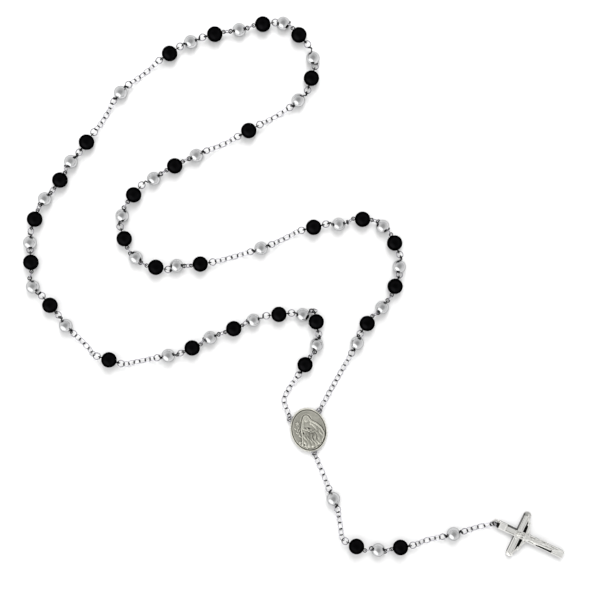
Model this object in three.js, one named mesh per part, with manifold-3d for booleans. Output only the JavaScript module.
// A five-decade rosary laid out on a table, in millimetres, +Z up, table at z = 0.
// One closed solid per unit of the chain: a bead with its own eyes, and on a metal bead
// also the connecting rings and the lengths of fine chain that hang on it.
import * as THREE from 'three';
import Module from 'manifold-3d';
import { mergeVertices } from 'three/addons/utils/BufferGeometryUtils.js';

// ---- sizes ----
const R_BLACK = 3.0;        // black bead radius
const R_METAL = 2.6;        // metal bead radius
const EYE_R = 0.65;         // eye on a black bead: mean radius
const EYE_W = 0.2;          // eye wire radius
const EYE_OUT = 0.6;        // centre of the eye's hole beyond the bead's surface
const RING_R = 1.3;         // connecting ring: mean radius
const RING_W = 0.2;         // ring wire radius
const STUB_R = 0.3;         // closed eye pin end of a metal bead
const LINK_WIDE = 1.0;      // half width of a fine chain link
const LINK_THIN = 0.22;     // half thickness of a fine chain link
const LINK_PITCH = 2.35;    // distance between neighbouring links
const OFFSET = [-0.23907, 0.49616];      // moves the layout so that its bounding box is centred on the origin
const THICK = 2.3;          // thickness of the crucifix bars
const CHAIN_LOW = 1.05;     // height of a run of chain where it lies on the table
const MEDAL = { c: [5.8, -55.57], rx: 6.8, ry: 8.2, tilt: 13.5, eyeZ: 1.3, eyeR: 0.9, eyeW: 0.28 };
const CROSS = { top: [79.34, -92.11], foot: [104.49, -104.1], half: 1.45, armHalf: 1.15, arm: 9.2, armAt: 8.7, eyeZ: 1.3, eyeR: 0.85, eyeW: 0.27 };

// kind (B black, S metal), centre x, centre y, lay of the ring towards the next bead
// (degrees: 0 lies flat, 90 stands on edge)
const LOOP = [
  ['B', 4.37, -30.19, 75], ['S', 8.9, -22.45, 20], ['B', 8.71, -13.58, 10], ['S', 3.48, -10.84, 8],
  ['B', -5.73, -10.72, 5], ['S', -15.56, -13.0, 60], ['B', -23.22, -16.25, 70], ['S', -32.31, -19.74, 80],
  ['B', -39.32, -23.72, 35], ['S', -48.61, -26.7, 0], ['B', -71.52, -28.33, 0], ['S', -88.31, -15.09, 20],
  ['B', -94.35, -7.2, 15], ['S', -101.08, -0.0, 85], ['B', -101.74, 9.44, 10], ['S', -102.17, 17.03, 20],
  ['B', -100.27, 26.12, 75], ['S', -96.44, 33.98, 35], ['B', -90.48, 41.25, 80], ['S', -86.3, 48.45, 10],
  ['B', -80.19, 55.92, 0], ['S', -67.03, 75.19, 0], ['B', -48.03, 90.25, 15], ['S', -39.86, 94.81, 5],
  ['B', -30.57, 97.72, 85], ['S', -21.09, 99.46, 80], ['B', -11.96, 101.59, 10], ['S', -4.06, 101.94, 85],
  ['B', 2.01, 97.41, 25], ['S', 7.43, 88.51, 10], ['B', 6.85, 80.69, 15], ['S', 1.74, 72.18, 0],
  ['B', -17.41, 60.41, 0], ['S', -37.73, 50.81, 85], ['B', -46.05, 46.75, 70], ['S', -54.18, 41.87, 10],
  ['B', -61.96, 35.53, 80], ['S', -66.45, 27.48, 15], ['B', -65.6, 18.58, 80], ['S', -61.15, 11.3, 85],
  ['B', -53.41, 7.51, 5], ['S', -45.36, 8.13, 60], ['B', -36.18, 8.75, 0], ['S', -12.62, 14.86, 0],
  ['B', 7.7, 22.99, 15], ['S', 17.41, 24.15, 70], ['B', 26.63, 26.08, 75], ['S', 34.44, 23.37, 80],
  ['B', 39.05, 16.91, 20], ['S', 40.87, 7.74, 15], ['B', 39.24, 0.15, 85], ['S', 34.25, -8.05, 70],
  ['B', 28.44, -14.24, 12], ['S', 24.54, -21.87, 0],
];
const PEND = [
  ['S', 15.36, -82.16, 0],
  ['B', 24.3, -100.54, 85],
  ['S', 32.7, -101.97, 80],
  ['B', 41.33, -100.93, 0],
  ['S', 61.92, -95.78, 0],
];
const LONG = new Set([10, 11, 21, 22, 32, 33, 43, 44]);   // gaps filled by a run of fine chain
const OPENED = 27;                                        // the gap where the closed loop is opened

// ---- small helpers ----
const wasm = await Module();
wasm.setup();
const { Manifold, Mesh: MMesh } = wasm;
const V = (x, y, z) => new THREE.Vector3(x, y, z);
const Z = V(0, 0, 1);

function solid(geometry) {
  const g = geometry.clone();
  g.deleteAttribute('normal');
  g.deleteAttribute('uv');
  const m = mergeVertices(g, 1e-5);
  return new Manifold(new MMesh({
    numProp: 3,
    vertProperties: new Float32Array(m.attributes.position.array),
    triVerts: new Uint32Array(m.index.array),
  }));
}
function fuse(list) { return list.reduce((a, b) => a.add(b)); }
function place(geometry, from, axis, centre) {
  const q = new THREE.Quaternion().setFromUnitVectors(from, axis.clone().normalize());
  geometry.applyQuaternion(q);
  geometry.translate(centre.x, centre.y, centre.z);
  return geometry;
}
// A bead with its poles on the hole's axis and a corner of its facets straight down, on the table.
function ball(centre, axis, r, w = 10, h = 6) {
  const g = new THREE.SphereGeometry(r, w, h);
  const y = axis.clone().normalize();
  const x = Z.clone().addScaledVector(y, -y.z).normalize();
  g.applyMatrix4(new THREE.Matrix4().makeBasis(x, y, new THREE.Vector3().crossVectors(x, y)));
  g.translate(centre.x, centre.y, centre.z);
  return solid(g);
}
// A wire ring whose first facet points along `toward`.
function ring(centre, normal, toward, r, wire, u = 8, v = 3) {
  const g = new THREE.TorusGeometry(r, wire, v, u);
  const n = normal.clone().normalize();
  const x = toward.clone().addScaledVector(n, -toward.dot(n)).normalize();
  const y = new THREE.Vector3().crossVectors(n, x);
  g.applyMatrix4(new THREE.Matrix4().makeBasis(x, y, n));
  g.translate(centre.x, centre.y, centre.z);
  return solid(g);
}
function stick(a, b, r, n = 4) {
  const d = b.clone().sub(a);
  const g = new THREE.CylinderGeometry(r, r, d.length(), n);
  return solid(place(g, V(0, 1, 0), d, a.clone().add(b).multiplyScalar(0.5)));
}
function ellipsoid(centre, rx, ry, rz, w = 10, h = 6, turn = 0) {
  const g = new THREE.SphereGeometry(1, w, h);
  g.rotateX(Math.PI / 2);
  g.scale(rx, ry, rz);
  g.rotateZ(turn);
  g.translate(centre[0], centre[1], centre[2]);
  return solid(g);
}
// A strip of fine chain: links lie flat and on edge in turn, drawn as one twisted bar.
function chainBar(curve) {
  const len = curve.getLength();
  const n = Math.max(2, Math.round(len / LINK_PITCH));
  const st = [];
  for (let i = 0; i < n; i += 1) {
    if (i === 0) st.push([0, 0.3, 0.3]);
    const flat = i % 2 === 0;
    st.push([(i + 0.5) / n, flat ? LINK_WIDE : LINK_THIN, flat ? LINK_THIN : LINK_WIDE]);
  }
  st.push([1, 0.3, 0.3]);
  const pos = [];
  const idx = [];
  for (const [t, a, b] of st) {
    const p = curve.getPointAt(t);
    p.z = Math.max(p.z, LINK_WIDE + 0.05);
    const d = curve.getTangentAt(t);
    const s = new THREE.Vector3().crossVectors(Z, d).normalize();
    const up = new THREE.Vector3().crossVectors(d, s).normalize();
    for (const [c, e] of [[a, 0], [0, b], [-a, 0], [0, -b]]) {
      const q = p.clone().addScaledVector(s, c).addScaledVector(up, e);
      pos.push(q.x, q.y, q.z);
    }
  }
  for (let i = 0; i + 1 < st.length; i += 1) {
    for (let k = 0; k < 4; k += 1) {
      const a = 4 * i + k;
      const b = 4 * i + ((k + 1) % 4);
      idx.push(a, b, b + 4, a, b + 4, a + 4);
    }
  }
  const e = 4 * (st.length - 1);
  idx.push(0, 2, 1, 0, 3, 2, e, e + 1, e + 2, e, e + 2, e + 3);
  const m = new Manifold(new MMesh({ numProp: 3, vertProperties: new Float32Array(pos), triVerts: new Uint32Array(idx) }));
  if (m.volume() > 0) return m;
  const flip = [];
  for (let i = 0; i < idx.length; i += 3) flip.push(idx[i], idx[i + 2], idx[i + 1]);
  return new Manifold(new MMesh({ numProp: 3, vertProperties: new Float32Array(pos), triVerts: new Uint32Array(flip) }));
}

// ---- where everything is ----
const bead = (row) => ({ kind: row[0], c: V(row[1], row[2], row[0] === 'B' ? R_BLACK : R_METAL), r: row[0] === 'B' ? R_BLACK : R_METAL, lay: row[3] });
const loop = [null, ...LOOP.map(bead)];
const pend = [null, ...PEND.map(bead)];

const mt = THREE.MathUtils.degToRad(MEDAL.tilt);
const medalPoint = (x, y, z) => V(MEDAL.c[0] + x * Math.cos(mt) - y * Math.sin(mt), MEDAL.c[1] + x * Math.sin(mt) + y * Math.cos(mt), z);
function medalEye(dx, dy) {
  const edge = 1 / Math.hypot(dx / MEDAL.rx, dy / MEDAL.ry);
  const c = medalPoint(dx * (edge + 0.8), dy * (edge + 0.8), MEDAL.eyeZ);
  const o = medalPoint(0, 0, MEDAL.eyeZ);
  return { c, out: c.clone().sub(o).normalize(), r: MEDAL.eyeR, w: MEDAL.eyeW };
}
const eyeLeft = medalEye(-0.735, 0.678);
const eyeRight = medalEye(0.67, 0.742);
const eyeFoot = medalEye(0, -1);

const ct = V(CROSS.top[0], CROSS.top[1], 0);
const cf = V(CROSS.foot[0], CROSS.foot[1], 0);
const cu = cf.clone().sub(ct).normalize();
const cv = V(-cu.y, cu.x, 0);
const crossPoint = (along, across, z) => ct.clone().addScaledVector(cu, along).addScaledVector(cv, across).setZ(z);
const eyeCross = { c: crossPoint(-0.75, 0, CROSS.eyeZ), out: cu.clone().negate(), r: CROSS.eyeR, w: CROSS.eyeW };

// direction of each bead's hole, pointing towards the next bead of the chain
const flat = (a, b) => b.clone().sub(a).setZ(0).normalize();
function axisOf(prev, here, next, bias = 0.5) {
  const a = flat(prev, here);
  const b = flat(here, next);
  return a.multiplyScalar(bias).add(b.multiplyScalar(1 - bias)).normalize();
}
const fold = V(7.45, -8.55, 0);   // the ring between beads 3 and 4 stands clear of both, where the chain is kinked
for (let i = 1; i <= 54; i += 1) {
  let p = i === 1 ? V(-1.55, -39.09, 0) : loop[i - 1].c;
  let n = i === 54 ? V(19.0, -31.5, 0) : loop[i + 1].c;
  if (i === 3) n = fold;
  if (i === 4) p = fold;
  loop[i].u = axisOf(p, loop[i].c, n, i === 3 ? 0.3 : i === 4 ? 0.6 : 0.5);
}
pend[1].u = axisOf(eyeFoot.c, pend[1].c, pend[2].c);
pend[2].u = axisOf(pend[1].c, pend[2].c, pend[3].c, 0.3);
pend[3].u = axisOf(pend[2].c, pend[3].c, pend[4].c);
pend[4].u = axisOf(pend[3].c, pend[4].c, pend[5].c);
pend[5].u = axisOf(pend[4].c, pend[5].c, eyeCross.c);

export const pivots = [];   // name, parent, child, point, axis (outwards along the arm from the medal)
const parts = new Map();
const add = (name, s) => parts.set(name, [...(parts.get(name) || []), s]);

// The eye on the black bead b, on the side `side` (+1 towards the next bead), for a ring laid at `lay`.
function blackEye(b, side, lay) {
  const out = b.u.clone().multiplyScalar(side);
  const h = new THREE.Vector3().crossVectors(Z, out).normalize();
  const a = THREE.MathUtils.degToRad(lay);
  const w = h.clone().multiplyScalar(Math.cos(a)).addScaledVector(Z, Math.sin(a));
  return { c: b.c.clone().addScaledVector(out, b.r + EYE_OUT), out, w };
}
function eyeSolid(e) { return ring(e.c, e.w, e.out.clone().negate(), EYE_R, EYE_W, 6, 3); }
// A ring whose wire runs through point p along w and whose middle lies towards q.
function ringThrough(p, w, q, r) {
  const d = q.clone().sub(p);
  d.addScaledVector(w, -d.dot(w)).normalize();
  const n = new THREE.Vector3().crossVectors(w, d).normalize();
  return { c: p.clone().addScaledVector(d, r), n, d, far: p.clone().addScaledVector(d, 2 * r) };
}
const pole = (b, side, out = 0.3) => b.c.clone().addScaledVector(b.u, side * (b.r + out));
const inside = (b, side) => b.c.clone().addScaledVector(b.u, side * (b.r - 0.5));

// A short connection between metal bead s (with its ring) and black bead b (with its eye).
function shortJoin(sName, s, sSide, bName, b, bSide, lay) {
  const e = blackEye(b, bSide, lay);
  const g = ringThrough(e.c, e.w, pole(s, sSide, 0.45), RING_R);
  add(bName, eyeSolid(e));
  add(sName, ring(g.c, g.n, g.d, RING_R, RING_W));
  add(sName, stick(inside(s, sSide), g.far, STUB_R));
  return { p: e.c, w: e.w };
}
// A run of fine chain from the metal bead s to a point p where its last ring passes through an eye.
function run(name, s, sSide, p, w, via = [], lay = 25, lift = 0) {
  const first = via.length ? via[0] : p;
  const a = inside(s, sSide);
  const near = pole(s, sSide, 0.35);
  const target = first.clone().setZ(near.z - 0.5);
  const h = new THREE.Vector3().crossVectors(Z, target.clone().sub(near)).normalize();
  const la = THREE.MathUtils.degToRad(lay);
  const w1 = h.multiplyScalar(Math.cos(la)).addScaledVector(Z, Math.sin(la));
  const g1 = ringThrough(near, w1, target, RING_R);
  const last = via.length ? via[via.length - 1] : s.c;
  const aim = last.clone().setZ(p.z + lift);
  const g2 = ringThrough(p, w, aim, RING_R);
  add(name, stick(a, near, STUB_R));
  add(name, ring(g1.c, g1.n, g1.d, RING_R, RING_W));
  add(name, ring(g2.c, g2.n, g2.d, RING_R, RING_W));
  const pts = [g1.far];
  const mids = via.length ? via.map((q) => q.clone().setZ(CHAIN_LOW)) : [0.3, 0.7].map((t) => g1.far.clone().lerp(g2.far, t).setZ(CHAIN_LOW));
  pts.push(...mids, g2.far);
  add(name, chainBar(new THREE.CatmullRomCurve3(pts, false, 'centripetal')));
  return g2;
}

const loopName = (i) => `bead_${String(i).padStart(2, '0')}`;
for (let i = 1; i <= 54; i += 1) add(loopName(i), ball(loop[i].c, loop[i].u, loop[i].r));

// left arm: medal -> 1 -> 2 ... -> 27; right arm: medal -> 54 -> 53 ... -> 28
function pivot(name, parent, child, point, axis) { pivots.push({ name, parent, child, pos: [point.x + OFFSET[0], point.y + OFFSET[1], point.z], axis: axis.clone().normalize().toArray() }); }
for (let i = 1; i < 54; i += 1) {
  const a = loop[i];
  const b = loop[i + 1];
  const metalFirst = a.kind === 'S';
  const s = metalFirst ? a : b;
  const k = metalFirst ? b : a;
  const sName = loopName(metalFirst ? i : i + 1);
  const kName = loopName(metalFirst ? i + 1 : i);
  const sSide = metalFirst ? 1 : -1;
  const kSide = -sSide;
  let j;
  if (i === OPENED) {
    const e = blackEye(k, kSide, a.lay);
    add(kName, eyeSolid(e));
    const out = s.u.clone().multiplyScalar(sSide);
    const c = s.c.clone().addScaledVector(out, s.r + 0.5);
    add(sName, ring(c, new THREE.Vector3().crossVectors(Z, out), out.clone().negate(), 0.55, EYE_W, 6, 3));
    continue;
  } else if (LONG.has(i)) {
    const e = blackEye(k, kSide, 12);
    add(kName, eyeSolid(e));
    run(sName, s, sSide, e.c, e.w);
    j = { p: e.c, w: e.w };
  } else {
    j = shortJoin(sName, s, sSide, kName, k, kSide, a.lay);
  }
  const outward = i < OPENED;
  pivot(`pivot_${String(i).padStart(2, '0')}_${String(i + 1).padStart(2, '0')}`, loopName(outward ? i : i + 1), loopName(outward ? i + 1 : i), j.p, j.w);
}
// runs that hang on the medal's two upper eyelets
function eyeletRun(name, s, sSide, eye, via, elev) {
  const last = via.length ? via[via.length - 1] : s.c;
  const d = last.clone().sub(eye.c).setZ(0).normalize();
  const h = new THREE.Vector3().crossVectors(Z, d).normalize();
  const t = THREE.MathUtils.degToRad(elev);
  const w = Z.clone().multiplyScalar(Math.cos(t)).addScaledVector(d, -Math.sin(t));   // wire direction inside the eyelet
  const aimAt = eye.c.clone().addScaledVector(d, 5 * Math.cos(t)).setZ(eye.c.z + 5 * Math.sin(t));
  const g2 = ringThrough(eye.c, w, aimAt, RING_R);
  const a = inside(s, sSide);
  const near = pole(s, sSide, 0.35);
  const first = via.length ? via[0] : g2.far;
  const target = first.clone().setZ(near.z - 0.5);
  const h1 = new THREE.Vector3().crossVectors(Z, target.clone().sub(near)).normalize();
  const la = THREE.MathUtils.degToRad(25);
  const w1 = h1.multiplyScalar(Math.cos(la)).addScaledVector(Z, Math.sin(la));
  const g1 = ringThrough(near, w1, target, RING_R);
  add(name, stick(a, near, STUB_R));
  add(name, ring(g1.c, g1.n, g1.d, RING_R, RING_W));
  add(name, ring(g2.c, g2.n, g2.d, RING_R, RING_W));
  const mids = via.length ? via.map((q) => q.clone().setZ(CHAIN_LOW)) : [0.3, 0.7].map((x) => g1.far.clone().lerp(g2.far, x).setZ(CHAIN_LOW));
  add(name, chainBar(new THREE.CatmullRomCurve3([g1.far, ...mids, g2.far], false, 'centripetal')));
  return { p: eye.c.clone().addScaledVector(eye.out, eye.r), w: new THREE.Vector3().crossVectors(Z, eye.out).normalize(), h };
}
let j = eyeletRun(loopName(1), loop[1], -1, eyeLeft, [V(-1.55, -39.09, 0), V(-3.75, -44.0, 0)], 12);
pivot('pivot_medal_left', 'medal', loopName(1), j.p, j.w);
j = eyeletRun(loopName(54), loop[54], 1, eyeRight, [], 12);
pivot('pivot_medal_right', 'medal', loopName(54), j.p, j.w);

// pendant
add('pendant_1', ball(pend[1].c, pend[1].u, pend[1].r));
add('pendant_2', ball(pend[2].c, pend[2].u, pend[2].r));
add('pendant_2', ball(pend[3].c, pend[3].u, pend[3].r));
add('pendant_4', ball(pend[4].c, pend[4].u, pend[4].r));
add('pendant_5', ball(pend[5].c, pend[5].u, pend[5].r));
j = eyeletRun('pendant_1', pend[1], -1, eyeFoot, [], 12);
pivot('pivot_medal_foot', 'medal', 'pendant_1', j.p, j.w);
{
  const e = blackEye(pend[2], -1, 12);
  add('pendant_2', eyeSolid(e));
  run('pendant_1', pend[1], 1, e.c, e.w);
  pivot('pivot_pendant_1_2', 'pendant_1', 'pendant_2', e.c, e.w);
  // beads 2 and 3 of the pendant are held as one unit: the ring between them is fixed to both
  const e2 = blackEye(pend[2], 1, 75);
  const g = ringThrough(e2.c, e2.w, pole(pend[3], -1, 0.45), RING_R);
  add('pendant_2', ring(g.c, g.n, g.d, RING_R, RING_W));
  add('pendant_2', stick(inside(pend[2], 1), e2.c, STUB_R));
  add('pendant_2', stick(inside(pend[3], -1), g.far, STUB_R));
  const q = shortJoin('pendant_2', pend[3], 1, 'pendant_4', pend[4], -1, 80);
  pivot('pivot_pendant_3_4', 'pendant_2', 'pendant_4', q.p, q.w);
  const e4 = blackEye(pend[4], 1, 12);
  add('pendant_4', eyeSolid(e4));
  run('pendant_5', pend[5], -1, e4.c, e4.w);
  pivot('pivot_pendant_4_5', 'pendant_4', 'pendant_5', e4.c, e4.w);
}
j = eyeletRun('pendant_5', pend[5], 1, eyeCross, [], 14);
pivot('pivot_crucifix', 'pendant_5', 'crucifix', j.p, j.w.clone().negate());

// medal: oval plate with a raised rim, a sunk groove and a domed field with a veiled figure
{
  const local = [];
  const plate = new THREE.CylinderGeometry(1, 1, 2.05, 24);
  plate.rotateX(Math.PI / 2);
  plate.scale(MEDAL.rx, MEDAL.ry, 1);
  plate.translate(0, 0, 1.025);
  local.push(solid(plate));
  const rim = new THREE.TorusGeometry(1, 0.062, 5, 24);
  rim.scale(MEDAL.rx - 0.42, MEDAL.ry - 0.42, 6.5);
  rim.translate(0, 0, 2.05);
  local.push(solid(rim));
  local.push(ellipsoid([0, 0, 2.0], 5.2, 6.6, 0.62, 14, 6));
  local.push(ellipsoid([-1.1, 2.5, 2.45], 1.9, 2.2, 0.5, 10, 6));
  local.push(ellipsoid([-1.2, 2.4, 2.7], 1.1, 1.4, 0.5, 10, 6));
  local.push(ellipsoid([0.3, -1.9, 2.3], 3.2, 2.9, 0.5, 10, 6, -0.35));
  let m = fuse(local);
  m = m.rotate([0, 0, MEDAL.tilt]).translate([MEDAL.c[0], MEDAL.c[1], 0]);
  // cut anything below the flat back
  m = m.trimByPlane([0, 0, 1], 0);
  add('medal', m);
  for (const e of [eyeLeft, eyeRight, eyeFoot]) {
    const x = e.out.clone();
    add('medal', ring(e.c, Z, x.negate(), e.r, e.w, 10, 4));
  }
}
// crucifix: flat latin cross, rounded arm ends, with a plain plaque, foot block and a raised figure
{
  const box = (a0, a1, b0, b1, z0, z1) => {
    const g = new THREE.BoxGeometry(a1 - a0, b1 - b0, z1 - z0);
    g.translate((a0 + a1) / 2, (b0 + b1) / 2, (z0 + z1) / 2);
    return solid(g);
  };
  const L = cf.distanceTo(ct);
  const h = CROSS.half;
  const k = CROSS.armHalf;
  const at = (x, y, z) => V(x, y, z);
  const limb = (a, b, r) => stick(a, b, r, 5);
  const local = [box(0, L, -h, h, 0, THICK), box(CROSS.armAt - k, CROSS.armAt + k, -(CROSS.arm - k), CROSS.arm - k, 0, THICK)];
  for (const s of [-1, 1]) {
    const c = new THREE.CylinderGeometry(k, k, THICK, 10);
    c.rotateX(Math.PI / 2);
    c.translate(CROSS.armAt, s * (CROSS.arm - k), THICK / 2);
    local.push(solid(c));
    // thin web that closes the corner between the crossbar and the raised arm
    const w = new THREE.Shape([new THREE.Vector2(CROSS.armAt, s * 1.0), new THREE.Vector2(13.2, s * 1.0), new THREE.Vector2(CROSS.armAt + 0.4, s * 8.4)]);
    const web = new THREE.ExtrudeGeometry(w, { depth: 1.0, bevelEnabled: false });
    web.translate(0, 0, 0.3);
    local.push(solid(web));
    local.push(limb(at(12.7, s * 0.5, 2.6), at(11.1, s * 4.4, 2.45), 0.5));
    local.push(limb(at(11.1, s * 4.4, 2.45), at(9.0, s * 8.3, 2.3), 0.42));
    local.push(ellipsoid([8.9, s * 8.3, 2.4], 0.6, 0.6, 0.4, 6, 4));
    local.push(limb(at(16.9, s * 0.5, 2.6), at(20.3, s * 0.42, 2.8), 0.5));
    local.push(limb(at(20.3, s * 0.42, 2.8), at(23.6, s * 0.28, 2.65), 0.4));
  }
  local.push(box(0.5, 3.2, -1.05, 1.05, 2.2, 2.65));         // plain plaque
  local.push(box(23.2, 25.0, -0.8, 0.8, 2.2, 2.8));          // foot block
  local.push(ellipsoid([8.8, -0.15, 3.15], 1.0, 0.78, 0.8, 10, 6));            // head
  local.push(limb(at(9.3, -0.1, 3.0), at(11.2, 0, 2.65), 0.42));                // neck
  local.push(ellipsoid([13.1, 0, 2.6], 2.8, 1.12, 0.85, 8, 6));                // torso
  local.push(ellipsoid([16.3, 0, 2.55], 1.5, 1.28, 0.85, 8, 5));               // cloth at the hips
  const m = fuse(local);
  const ang = Math.atan2(cu.y, cu.x) * 180 / Math.PI;
  add('crucifix', m.rotate([0, 0, ang]).translate([ct.x, ct.y, 0]));
  add('crucifix', ring(eyeCross.c, Z, cu, eyeCross.r, eyeCross.w, 10, 4));
}

// ---- meshes ----
const SILVER = new THREE.MeshStandardMaterial({ name: 'polished_silver', color: 0xd9dbde, metalness: 1, roughness: 0.12 });
const BLACK = new THREE.MeshStandardMaterial({ name: 'black_bead', color: 0x050506, metalness: 0, roughness: 0.08 });
const MEDALM = new THREE.MeshStandardMaterial({ name: 'antique_medal', color: 0x9d9c90, metalness: 1, roughness: 0.35 });
const CROSSM = new THREE.MeshStandardMaterial({ name: 'antique_cross', color: 0xb4b3aa, metalness: 1, roughness: 0.28 });

const group = new THREE.Group();
group.name = 'rosary';
for (const [name, list] of parts) {
  const m = fuse(list).simplify(0.03).translate([OFFSET[0], OFFSET[1], 0]).getMesh();
  const g = new THREE.BufferGeometry();
  g.setAttribute('position', new THREE.BufferAttribute(new Float32Array(m.vertProperties), m.numProp));
  g.setIndex(new THREE.BufferAttribute(new Uint32Array(m.triVerts), 1));
  g.computeVertexNormals();
  const kind = name === 'medal' ? MEDALM : name === 'crucifix' ? CROSSM
    : (name.startsWith('bead_') ? loop[Number(name.slice(5))].kind : pend[Number(name.slice(8))].kind) === 'B' ? BLACK : SILVER;
  const mesh = new THREE.Mesh(g, kind);
  mesh.name = name;
  group.add(mesh);
}
export default group;
